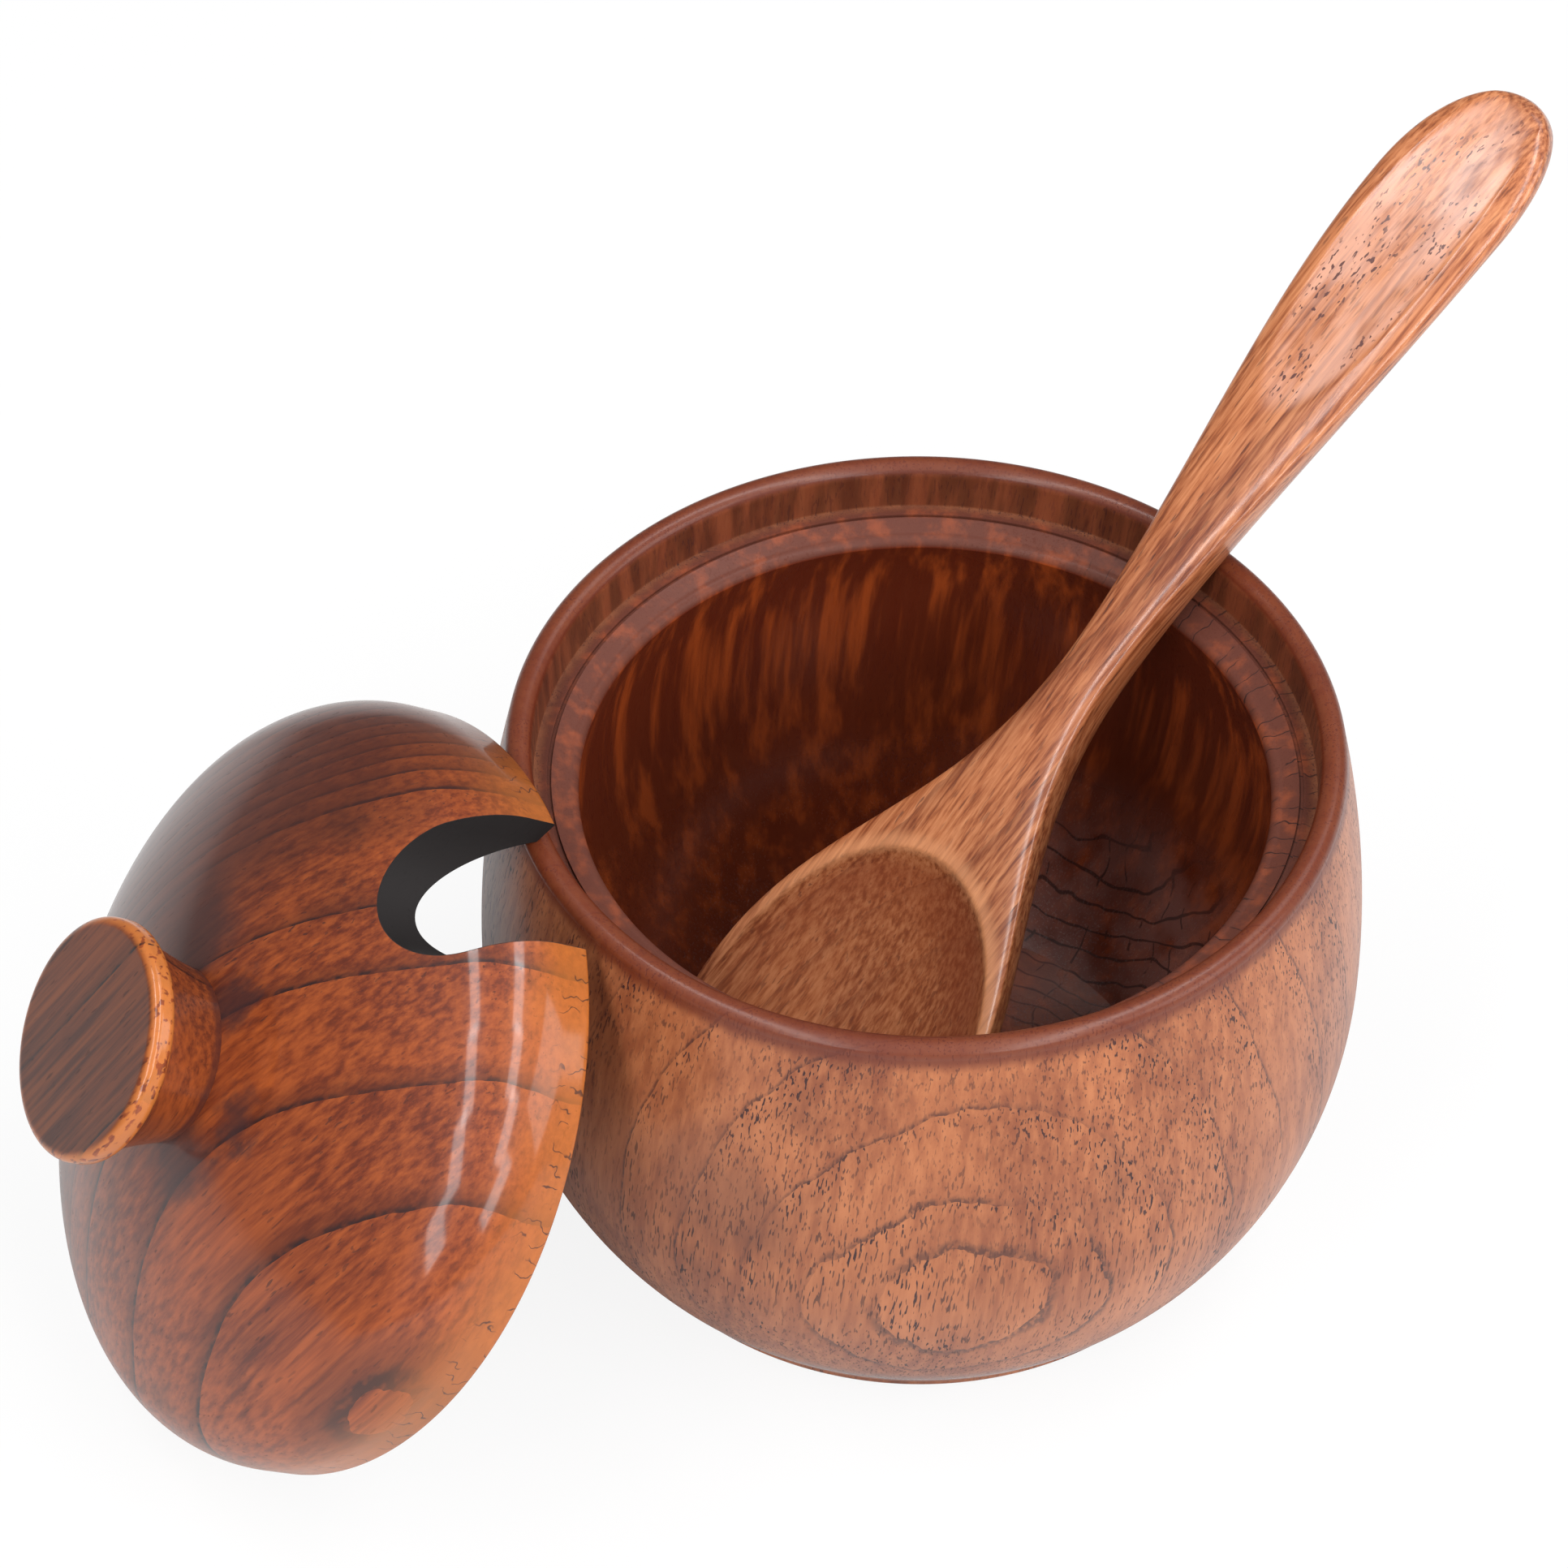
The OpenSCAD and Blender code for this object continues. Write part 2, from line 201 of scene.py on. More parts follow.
# The three numbers of a vector
def parts(vector):
    made = Shade.node("ShaderNodeSeparateXYZ", Vector=vector)
    return [Shade(s) for s in made.outputs]


# Distance of (a, b) from the middle: square root of a * a + b * b
def reachOf(a, b):
    return Shade.maths("SQRT", a * a + b * b)


# Thin lines, one for each whole step of the value: distance of its fraction from a half, made a mask
def hairlines(value, outside, inside):
    return Shade.maths("ABSOLUTE", Shade.maths("FRACT", value) - 0.5).rise(outside, inside)


# A grain frame: third axis along the grain, first axis across the growth rings, both turned to the world
def grainAxes(across, along):
    across = across / np.linalg.norm(across)
    along = along - across * (along @ across)
    along = along / np.linalg.norm(along)
    return np.stack([across, np.cross(along, across), along], axis=1)


# Object coordinates, in metres
def objectCoords():
    return Shade(Shade.node("ShaderNodeTexCoord").outputs["Object"])


# Object coordinates seen from a frame, in millimetres: axes^T (p - origin) * 1000
def seenFrom(origin, axes):
    turn = Matrix(axes.tolist()).to_euler("XYZ")
    made = Shade.node("ShaderNodeMapping", {"vector_type": "TEXTURE"}, Vector=objectCoords(),
                      Location=tuple(origin * 0.001), Rotation=tuple(turn), Scale=(0.001, 0.001, 0.001))
    return Shade(made.outputs[0])


# Varnished wood. Rings stand at the given distances along the first grain axis; each ring darkens
# slowly, ends sharply and is broken into dots by noise. Pores are short dashes along the grain.
# A piece's own stain, with any painted light or shade, takes the colour and the grain, and gives a colour and
# a dullness.
def woodMaterial(name, look, origin, axes, stainAndPaintedLight):
    material = bpy.data.materials.new(name)
    material.use_nodes = True
    Shade.tree = material.node_tree
    Shade.tree.nodes.clear()
    grain = seenFrom(origin, axes)
    across, beside = parts(grain)[:2]
    wobble = (noise(grain, (0.05, 0.05, 0.02), 2.0, at=3.1) - 0.5) * look["wander"]
    wobble = wobble + (noise(grain, (0.5, 0.5, 0.2), 2.0, at=8.3) - 0.5) * look["shake"]
    distance = across + wobble
    if look["bend"]:
        distance = distance + beside * beside * look["bend"] + beside * look["tilt"]

    # One ramp counts the rings, the other holds each ring's width, so that lines keep their millimetres
    rings = look["rings"]
    low = rings[0]
    span = rings[-1] - low
    count = len(rings) - 1
    share = (distance - low) / span
    stops = [((at - low) / span, (k / count, k / count, k / count, 1)) for k, at in enumerate(rings)]
    counted = Shade.node("ShaderNodeValToRGB", {"stops": stops}, Fac=share)
    phase = Shade.maths("FRACT", Shade(counted.outputs["Color"]) * (count * 0.9999))
    widest = max(b - a for a, b in zip(rings, rings[1:]))
    widths = [(b - a) / widest for a, b in zip(rings, rings[1:])]
    stops = [((at - low) / span, (w, w, w, 1)) for at, w in zip(rings, widths)]
    steps = Shade.node("ShaderNodeValToRGB", {"stops": stops, "between": "CONSTANT"}, Fac=share)
    toRing = (1.0 - phase) * (Shade(steps.outputs["Color"]) * widest)
    late = toRing.rise(look["lateWidth"], 0.0)
    sharp = toRing.rise(look["lineWidth"], look["lineWidth"] * 0.2)
    dots = noise(grain, look["dotStretch"], 2.0, at=5.7).rise(0.36, 0.56)
    fade = noise(grain, look["fadeStretch"], 2.0, at=12.0).rise(0.36, 0.56)
    lines = sharp * (0.3 + 0.7 * dots) * (look["fadeFloor"] + (1.0 - look["fadeFloor"]) * fade)

    # Pores are closest together in the early wood, just after a ring
    early = (1.0 - phase).rise(0.55, 1.0)
    pores = noise(grain, look["poreStretch"], 1.0, at=1.3).rise(look["poreCut"], look["poreCut"] + 0.07)
    poreArea = noise(grain, (0.06, 0.06, 0.04), 2.0, at=11.0).rise(0.35, 0.6)
    pores = pores * (0.25 + 0.5 * poreArea + 0.5 * early)
    streak = noise(grain, look["streakStretch"], 4.0, 0.6, at=2.2)
    cloud = noise(grain, look["cloudStretch"], 3.0, 0.55, at=7.0)
    smoke = noise(grain, (0.045, 0.045, 0.03), 3.0, 0.6, at=look["smokeAt"]).rise(0.55, 0.78)
    colour = blend(cloud.rise(0.3, 0.7), look["deep"], look["base"])
    colour = blend(streak.rise(0.35, 0.75) * look["streaks"], colour, look["bright"])
    colour = blend(streak.rise(0.5, 0.25) * look["darkStreaks"], colour, look["dark"])
    colour = blend(late * look["lates"], colour, look["dark"])
    colour = blend(smoke * look["smoke"], colour, look["line"])
    colour = blend(pores * look["pores"], colour, look["line"])
    colour = blend(lines * look["lines"], colour, look["line"])
    colour, dull = stainAndPaintedLight(colour, grain)

    height = streak * 0.3 - pores * 0.5 - lines * 0.4
    bump = Shade.node("ShaderNodeBump", Strength=look["bump"], Distance=0.0001, Height=height)
    shine = look["rough"] + 0.12 * (1.0 - cloud) + 0.15 * pores + dull * 0.25
    varnish = look["coat"] * (1.0 - dull) if isinstance(dull, Shade) else look["coat"]
    surface = Shade.node("ShaderNodeBsdfPrincipled", Base_Color=colour, Roughness=shine,
                         IOR=1.45, Specular_IOR_Level=look["specular"], Coat_Weight=varnish,
                         Coat_Roughness=look["coatRough"], Coat_IOR=1.42, Normal=Shade(bump.outputs[0]))
    Shade.node("ShaderNodeOutputMaterial", Surface=Shade(surface.outputs[0]))
    return material


# The pot, in millimetres, with its colours: sizes as in the part's source, rings by distance along the
# first grain axis
potValues = {
    "bellyR": 50.0, "bellyZ": 35.0, "lowerR": 54.0, "upperR": 134.0, "footR": 1.6,
    "lipR": 44.8935, "lipZ": 65.9065, "lipRound": 1.4935, "seatR": 43.4, "seatZ": 61.5,
    "ringW": 1.5, "grooveW": 0.5, "grooveT": 0.35, "ledgeR": 39.6, "ledgeFall": 0.8,
    "mouthRound": 1.2, "mouthZ": 59.5, "hollowR": 43.7, "hollowZ": 33.8, "hollowUpper": 64.96,
    "hollowLower": 35.0, "floorT": 5.1,
    "deep": (0.18, 0.046, 0.016), "base": (0.315, 0.100, 0.036), "bright": (0.48, 0.175, 0.068),
    "dark": (0.15, 0.036, 0.016), "line": (0.03, 0.008, 0.008),
    "rings": [-60.0, -45.0, -33.0, -24.0, -15.0, -7.0, 1.0, 8.0, 15.0, 22.0, 28.8, 34.8, 39.6, 42.8,
              44.3, 47.0],
    "wander": 3.4, "shake": 0.45, "bend": 0.0, "tilt": 0.0, "lateWidth": 1.6, "lineWidth": 0.32,
    "dotStretch": (1.1, 1.6, 0.9), "poreStretch": (3.6, 3.6, 0.42), "poreCut": 0.58,
    "streakStretch": (0.9, 0.9, 0.07), "cloudStretch": (0.08, 0.08, 0.03), "streaks": 0.45,
    "darkStreaks": 0.35, "lates": 0.2, "smoke": 0.35, "smokeAt": 4.4, "pores": 1.0, "lines": 0.75,
    "fadeStretch": (0.06, 0.05, 0.03), "fadeFloor": 0.12, "specular": 0.3,
    "bump": 0.35, "rough": 0.4, "coat": 0.3, "coatRough": 0.2,
    "hollowDark": (0.10, 0.012, 0.003), "hollowLight": (0.34, 0.058, 0.009),
    # Painted shade: the hollow's low colour and both colours of the recess wall
    "hollowLowShade": (0.05, 0.008, 0.003), "recessShadeDark": (0.06, 0.012, 0.005),
    "recessShadeLight": (0.16, 0.036, 0.014), "lipDark": (0.095, 0.014, 0.004),
    "ledgeStain": (0.085, 0.032, 0.022), "smudge": (0.10, 0.030, 0.016),
    # Painted highlight: the pale patch low in the hollow takes the first colour below
    "hollowHighlight": (0.22, 0.12, 0.105), "crack": (0.012, 0.005, 0.005)}


# The pot's profile from the middle of the foot, up the side, over the lip and down the hollow: arcs
# that meet at the belly's widest height, each x = centre + root(radius^2 - (z - centre height)^2)
def potProfile(s):
    footDrop = s["footR"] - s["bellyZ"]
    footX = s["bellyR"] - s["lowerR"] + math.sqrt(s["lowerR"] ** 2 - footDrop ** 2) - s["footR"]
    low = math.degrees(math.asin(footDrop / s["lowerR"]))
    high = math.degrees(math.asin((s["lipZ"] - s["bellyZ"]) / s["upperR"]))
    ringX = s["seatR"] - s["ringW"]
    grooveX = ringX - s["grooveW"]
    grooveZ = s["seatZ"] - s["grooveT"]
    ledgeZ = s["seatZ"] - s["ledgeFall"]
    topTurn = math.degrees(math.asin((s["mouthZ"] - s["hollowZ"]) / s["hollowUpper"]))
    floorTurn = math.degrees(math.asin((s["floorT"] - s["hollowZ"]) / s["hollowLower"]))
    floorX = s["hollowR"] - s["hollowLower"] + s["hollowLower"] * math.cos(math.radians(floorTurn))
    return np.concatenate([
        linePoints((0, 0), (footX, 0), 12),
        arcPoints(footX, s["footR"], s["footR"], -90, 0, 8),
        arcPoints(s["bellyR"] - s["lowerR"], s["bellyZ"], s["lowerR"], low, 0, 44),
        arcPoints(s["bellyR"] - s["upperR"], s["bellyZ"], s["upperR"], 0, high, 30),
        arcPoints(s["lipR"], s["lipZ"], s["lipRound"], 0, 180, 22),
        linePoints((s["seatR"], s["lipZ"]), (s["seatR"], s["seatZ"]), 8),
        linePoints((s["seatR"], s["seatZ"]), (ringX, s["seatZ"]), 5),
        linePoints((ringX, s["seatZ"]), (ringX, grooveZ), 3),
        linePoints((ringX, grooveZ), (grooveX, grooveZ), 3),
        linePoints((grooveX, grooveZ), (grooveX, s["seatZ"]), 3),
        linePoints((grooveX, s["seatZ"]), (s["ledgeR"], ledgeZ), 6),
        arcPoints(s["ledgeR"], s["mouthZ"], s["mouthRound"], 90, 180, 12),
        arcPoints(s["hollowR"] - s["hollowUpper"], s["hollowZ"], s["hollowUpper"], topTurn, 0, 28),
        arcPoints(s["hollowR"] - s["hollowLower"], s["hollowZ"], s["hollowLower"], 0, floorTurn, 34),
        linePoints((floorX, s["floorT"]), (0, s["floorT"]), 10)])


# The pot's stain, deeper inside and greyer on the ledge, with a darker lip, painted shade low in the hollow
# and on the recess wall, and a painted highlight low in the hollow. Each area is a product of rises over
# height and radius, both in metres here.
def potStainAndPaintedLight(colour, grain):
    v = potValues
    x, y, z = parts(objectCoords())
    radius = reachOf(x, y)
    outsideR = 0.0505 - (0.035 - z) * (0.035 - z) * 6.0  # a parabola close to the belly's outside
    hollow = (outsideR - radius).rise(0.0028, 0.0042) * z.rise(0.0048, 0.0052)
    ledge = z.rise(0.0594, 0.0600) * z.rise(0.0618, 0.0614) * radius.rise(0.0436, 0.0434)
    wall = noise(grain, (0.35, 0.35, 0.02), 3.0, 0.6, at=6.1)
    deep = blend(wall.rise(0.45, 0.72), v["hollowDark"], v["hollowLight"])
    # Painted shade: the hollow darker towards its bottom
    deep = blend(z.rise(0.05, 0.02) * 0.6, deep, v["hollowLowShade"])

    # A dark smudge at the front left of the belly
    near = reachOf(x + 0.021, z - 0.041)
    near = near + (noise(grain, (0.2, 0.2, 0.1), 4.0, 0.65, at=23.0) - 0.5) * 0.014
    colour = blend(near.rise(0.012, 0.004) * y.rise(-0.03, -0.04) * 0.4, colour, v["smudge"])
    colour = blend(hollow * 0.95, colour, deep)

    # Painted highlight: a pale patch low in the hollow, behind the spoon at the right
    hollowHighlight = hollow * z.rise(0.028, 0.010) * x.rise(0.0, 0.016) * y.rise(0.0, 0.012)
    hollowHighlight = hollowHighlight * noise(grain, (0.15, 0.15, 0.15), 3.0, at=24.0).rise(0.3, 0.6)
    colour = blend(hollowHighlight * 0.35, colour, v["hollowHighlight"])
    # Painted shade on the recess wall above the seat, over the wall's streaks
    shadedRecess = z.rise(0.0614, 0.0618) * radius.rise(0.0438, 0.0436)
    colour = blend(shadedRecess * 0.85, colour, blend(wall.rise(0.4, 0.65), v["recessShadeDark"], v["recessShadeLight"]))
    # The lip's top darker
    lip = z.rise(0.0640, 0.0658) * radius.rise(0.0434, 0.0436)
    colour = blend(lip * 0.85, colour, v["lipDark"])
    colour = blend(ledge * 0.6, colour, v["ledgeStain"])

    # Fine cracks: radial on the ledge and crossing lines low in the hollow, both at the right
    turn = Shade.maths("ARCTAN2", y, x) * 17.0 + noise(grain, (0.3, 0.3, 0.3), 2.0, at=3.0) * 1.2
    radial = hairlines(turn, 0.045, 0.02)
    ragged = noise(grain, (0.25, 0.25, 0.25), 3.0, at=14.0)
    onLedge = ledge * radial * ragged.rise(0.42, 0.5) * x.rise(0.012, 0.03)
    slant = (x * 0.5 + y * 0.86) * 420.0 + noise(grain, (0.12, 0.12, 0.12), 2.0, at=16.0) * 2.0
    slants = hairlines(slant, 0.075, 0.03)
    across = (x * 0.86 - y * 0.5) * 300.0 + noise(grain, (0.12, 0.12, 0.12), 2.0, at=18.0) * 2.0
    crossed = hairlines(across, 0.05, 0.02) * ragged.rise(0.5, 0.55)
    low = z.rise(0.026, 0.014) * x.rise(0.004, 0.014)
    net = Shade.maths("MAXIMUM", slants, crossed) * hollow * low
    colour = blend(Shade.maths("MAXIMUM", net * 0.75, onLedge * 0.85), colour, v["crack"])
    return colour, ledge * 0.8 - hollow * z.rise(0.035, 0.02) * 0.9


potPoints, potFaces = turnedShape(potProfile(potValues), 320)
pot = meshObject("pot", potPoints, potFaces)
potAxes = grainAxes(np.array([0.09, -0.985, -0.13]), np.array([0.06, 0.0, 1.0]))
pot.data.materials.append(woodMaterial("stainedPot", potValues, np.zeros(3), potAxes, potStainAndPaintedLight))
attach(pot, "pot")
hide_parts("bowl")
print("pot made", len(potFaces))

# The lid, in millimetres and degrees, with its colours and the way it leans
lidValues = {
    "radius": 43.0, "skirt": 3.6, "edgeRound": 0.25, "shoulderR": 11.4, "shoulderX": 31.6, "crownR": 68.8,
    "crownZ": -44.3187, "top": 24.4813, "dishR": 39.6, "dishSlope": 54.0, "dishRound": 12.0,
    "dishX": 21.0754, "ceiling": 17.0813, "notchW": 16.0, "notchDepth": 12.4, "notchAt": 166.2,
    "leanTurn": 201.9, "leanSide": -1.9, "leanRise": 35.3, "standOff": 68.2383,
    "deep": (0.11, 0.017, 0.005), "base": (0.20, 0.038, 0.008), "bright": (0.37, 0.085, 0.016),
    "dark": (0.05, 0.009, 0.004), "line": (0.012, 0.004, 0.005),
    "rings": [-60.0, -38.0, -34.0, -31.0, -28.2, -25.6, -23.2, -20.6, -18.0, -15.4, -12.6, -9.3, 5.8, 13.3,
              24.9, 34.3, 42.8, 60.0],
    "wander": 1.3, "shake": 0.35, "bend": 0.0233, "tilt": -0.0617, "lateWidth": 2.6, "lineWidth": 0.62,
    "dotStretch": (0.8, 1.0, 0.4), "poreStretch": (2.2, 2.2, 0.4), "poreCut": 0.66,
    "streakStretch": (1.3, 1.3, 0.06), "cloudStretch": (0.09, 0.09, 0.03), "streaks": 0.55,
    "darkStreaks": 0.55, "lates": 0.6, "smoke": 0.75, "smokeAt": 2.0, "pores": 0.55, "lines": 0.92,
    "fadeStretch": (0.05, 0.05, 0.03), "fadeFloor": 0.6, "specular": 0.3,
    "bump": 0.15, "rough": 0.4, "coat": 0.6, "coatRough": 0.1,
    "smokySpots": [(-10.0, -9.0, 9.0), (6.0, 10.0, 8.0), (-5.0, 13.5, 5.0), (-11.0, 2.0, 5.0)],
    "smoky": (0.03, 0.013, 0.014), "rimLighter": (0.42, 0.12, 0.012), "tick": (0.02, 0.006, 0.005),
    # Painted shade: the far side of the dome takes the first colour below
    "farSideShade": (0.05, 0.009, 0.004), "notchWall": (0.010, 0.008, 0.008)}


# The lid's own frame: origin in the middle of the rim, third axis up the dome, leant back by the rise
def lidFrame(s):
    t = math.radians(s["leanTurn"])
    r = math.radians(s["leanRise"])
    origin = standingAt(t, s["standOff"], s["leanSide"], s["radius"] * math.cos(r))
    ex = np.array([math.cos(t) * math.sin(r), math.sin(t) * math.sin(r), -math.cos(r)])
    ey = np.array([-math.sin(t), math.cos(t), 0.0])
    ez = np.array([math.cos(t) * math.cos(r), math.sin(t) * math.cos(r), math.sin(r)])
    return origin, np.stack([ex, ey, ez], axis=1)


# The lid's profile from the top of the crown, down the outside and back up the underside: two arcs
# that meet where their normals agree, sin(meet) = shoulderX / (crownR - shoulderR)
def lidProfile(s):
    meet = math.degrees(math.asin(s["shoulderX"] / (s["crownR"] - s["shoulderR"])))
    slope = math.radians(s["dishSlope"])
    dishZ = s["ceiling"] - s["dishRound"]
    coneTop = (s["dishX"] + s["dishRound"] * math.sin(slope), dishZ + s["dishRound"] * math.cos(slope))
    edge = s["edgeRound"]
    return np.concatenate([
        arcPoints(0, s["crownZ"], s["crownR"], 90, 90 - meet, 60),
        arcPoints(s["shoulderX"], s["skirt"], s["shoulderR"], 90 - meet, 0, 40),
        linePoints((s["radius"], s["skirt"]), (s["radius"], edge), 6),
        arcPoints(s["radius"] - edge, edge, edge, 0, -90, 5),
        linePoints((s["radius"] - edge, 0), (s["dishR"], 0), 5),
        linePoints((s["dishR"], 0), coneTop, 12),
        arcPoints(s["dishX"], dishZ, s["dishRound"], 90 - s["dishSlope"], 90, 16),
        linePoints((s["dishX"], s["ceiling"]), (0, s["ceiling"]), 12)])[::-1]


# The notch's middle line turned round the lid's axis: a plain turn by notchAt about the third axis
def notchAxes(s):
    turn = math.radians(s["notchAt"])
    return np.array([[math.cos(turn), -math.sin(turn), 0], [math.sin(turn), math.cos(turn), 0], [0, 0, 1]])


# Where the notch's round end has its middle, from the lid's axis
def notchEnd(s):
    return s["radius"] - s["notchDepth"] + s["notchW"] / 2


# The notch's cutter: a plan with a round end, drawn out along the lid's axis from below the rim to
# above the dome
def notchShape(s):
    half = s["notchW"] / 2
    past = s["radius"] + 9
    plan = np.concatenate([arcPoints(notchEnd(s), 0, half, 90, 270, 65), [[past, -half], [past, half]]])
    x, y = (plan @ notchAxes(s)[:2, :2].T).T
    n = len(plan)
    points = np.concatenate([np.stack([x, y, np.full(n, z)], axis=1) for z in (-3.0, 28.0)])
    i = np.arange(n)
    k = (i + 1) % n
    sides = np.stack([i, k, k + n, i + n], axis=1).tolist()
    return points, sides + [list(range(n))[::-1], list(range(n, 2 * n))]


# The lid's stain and painted shade: smoky round the knob, lighter and more orange near the rim, painted shade
# on the far side of the dome, fine ticks along the rim and a charred notch wall. Masks are rises of distances
# in millimetres.
def lidStainAndPaintedShade(colour, grain):
    s = lidValues
    u, v, w = parts(seenFrom(*notchPlace))
    half = s["notchW"] / 2
    endX = notchEnd(s)
    fromEnd = reachOf(Shade.maths("MAXIMUM", endX - u, 0.0), v)  # distance from the notch's middle line
    inner = fromEnd.rise(half + 0.10, half + 0.02) * u.rise(endX - half - 1.0, endX - half - 0.5)
    x, y = parts(seenFrom(*lidPlace))[:2]
    ragged = (noise(grain, (0.16, 0.16, 0.1), 4.0, 0.65, at=9.0) - 0.5) * 14.0
    for spotX, spotY, size in s["smokySpots"]:
        away = reachOf(x - spotX, y - spotY) + ragged
        colour = blend(away.rise(size, size * 0.25) * 0.78, colour, s["smoky"])
    # The dome lighter and more orange near the rim
    edge = (w + (noise(grain, (0.1, 0.1, 0.05), 2.0, at=5.0) - 0.5) * 8.0).rise(11.0, 1.0)
    colour = blend(edge * 0.55, colour, s["rimLighter"])
    turn = Shade.maths("ARCTAN2", y, x) * 21.0 + noise(grain, (0.4, 0.4, 0.4), 2.0, at=6.0) * 2.5
    ticks = hairlines(turn, 0.07, 0.02) * w.rise(5.5, 2.5)
    ticks = ticks * noise(grain, (0.3, 0.3, 0.3), 2.0, at=15.0).rise(0.47, 0.55)
    colour = blend(ticks * 0.8, colour, s["tick"])
    # Painted shade: the far side of the dome darker
    colour = blend(y.rise(2.0, -16.0) * 0.75, colour, s["farSideShade"])
    return blend(inner, colour, s["notchWall"]), inner


lidPlace = lidFrame(lidValues)
notchPlace = (lidPlace[0], lidPlace[1] @ notchAxes(lidValues))
lidPoints, lidFaces = turnedShape(lidProfile(lidValues), 360)
wholeLid = meshObject("wholeLid", placed(lidPoints, lidPlace), lidFaces)
cutPoints, cutFaces = notchShape(lidValues)
cutter = meshObject("cutter", placed(cutPoints, lidPlace), cutFaces)
cut = wholeLid.modifiers.new("notch", "BOOLEAN")
cut.operation = "DIFFERENCE"
cut.solver = "EXACT"
cut.object = cutter
bpy.context.view_layer.update()
cutMesh = bpy.data.meshes.new_from_object(wholeLid.evaluated_get(bpy.context.evaluated_depsgraph_get()))
bpy.data.objects.remove(wholeLid)
bpy.data.objects.remove(cutter)
smoothed(cutMesh, 35)
lid = linked("cover", cutMesh)
lidAxes = grainAxes(lidPlace[1] @ np.array([0.21, 1.0, 0.0]), lidPlace[1] @ np.array([1.0, -0.21, 0.0]))
cutMesh.materials.clear()
cutMesh.materials.append(woodMaterial("varnishedLid", lidValues, lidPlace[0], lidAxes, lidStainAndPaintedShade))
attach(lid, "cover")
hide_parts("lid")
print("lid made", len(cutMesh.polygons))

# The knob, in millimetres in the lid's frame, with its colours; what it doesn't name is as on the lid
knobValues = dict(lidValues)
knobValues.update({
    "radius": 13.4, "top": 34.8813, "edge": 3.0, "round": 1.1, "footR": 9.7, "sideR": 40.0,
    "deep": (0.09, 0.017, 0.006), "base": (0.20, 0.038, 0.008), "bright": (0.36, 0.08, 0.014),
    "dark": (0.04, 0.008, 0.004), "lines": 1.0, "smoke": 0.4,
    "rings": [-40.0, -20.0, -7.8, 0.6, 16.0, 40.0], "lineWidth": 0.6, "lates": 0.35, "bend": 0.0,
    "faceTint": (0.35, 0.45, 0.6), "bandStain": (0.48, 0.15, 0.028), "footStain": (0.05, 0.012, 0.01)})


# The knob's profile from the lid's crown up its waisted side, over the head to its middle: the waist
# is an arc through both its ends, its centre beside the middle of their chord
def knobProfile(s, lidTop):
    edgeZ = s["top"] - s["edge"]
    innerR = s["radius"] - s["round"]
    foot = np.array([s["footR"], lidTop - s["footR"] ** 2 / (2 * s["crownR"])])
    head = np.array([innerR, edgeZ])
    chord = head - foot
    size = np.linalg.norm(chord)
    away = np.array([chord[1], -chord[0]]) / size
    centre = foot + chord / 2 + away * math.sqrt(s["sideR"] ** 2 - size * size / 4)
    a = np.degrees(np.arctan2(foot[1] - centre[1], foot[0] - centre[0])) % 360
    b = np.degrees(np.arctan2(head[1] - centre[1], head[0] - centre[0])) % 360
    footX = np.linspace(0, s["footR"], 14)
    under = np.stack([footX, s["crownZ"] + np.sqrt((s["crownR"] + 0.05) ** 2 - footX ** 2)], axis=1)
    return np.concatenate([
        under,
        arcPoints(centre[0], centre[1], s["sideR"], a, b, 24),
        arcPoints(innerR, edgeZ + s["round"], s["round"], -90, 0, 10),
        linePoints((s["radius"], edgeZ + s["round"]), (s["radius"], s["top"] - s["round"]), 4),
        arcPoints(innerR, s["top"] - s["round"], s["round"], 0, 90, 12),
        linePoints((innerR, s["top"]), (0, s["top"]), 12)])


# The knob's stain: a cooler face, a band worn bright round its edge and a dark foot, by rises of the
# height in the lid's frame and of the distance from the axis
def knobStain(colour, grain):
    v = knobValues
    x, y, z = parts(seenFrom(*lidPlace))
    r = reachOf(x, y)
    band = r.rise(12.2, 13.2) * z.rise(31.6, 32.6)
    marks = noise(grain, (1.3, 1.3, 0.5), 2.0, at=4.0).rise(0.63, 0.55)
    face = z.rise(34.4, 34.8) * r.rise(13.0, 12.0)
    colour = blend(face * 0.9, colour, blend(0.8, colour, v["faceTint"], "MULTIPLY"))
    colour = blend(band * marks * 0.7, colour, v["bandStain"])
    return blend(z.rise(25.2, 24.4) * 0.7, colour, v["footStain"]), 0.0


knobPoints, knobFaces = turnedShape(knobProfile(knobValues, lidValues["top"]), 256)
knob = meshObject("knobTurned", placed(knobPoints, lidPlace), knobFaces, 50)
knobAxes = grainAxes(lidPlace[1] @ np.array([0.177, 0.984, 0.12]), lidPlace[1] @ np.array([1.0, -0.18, 0.0]))
knob.data.materials.append(woodMaterial("varnishedKnob", knobValues, lidPlace[0], knobAxes, knobStain))
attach(knob, "cover")
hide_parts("knob")
print("knob made", len(knobFaces))

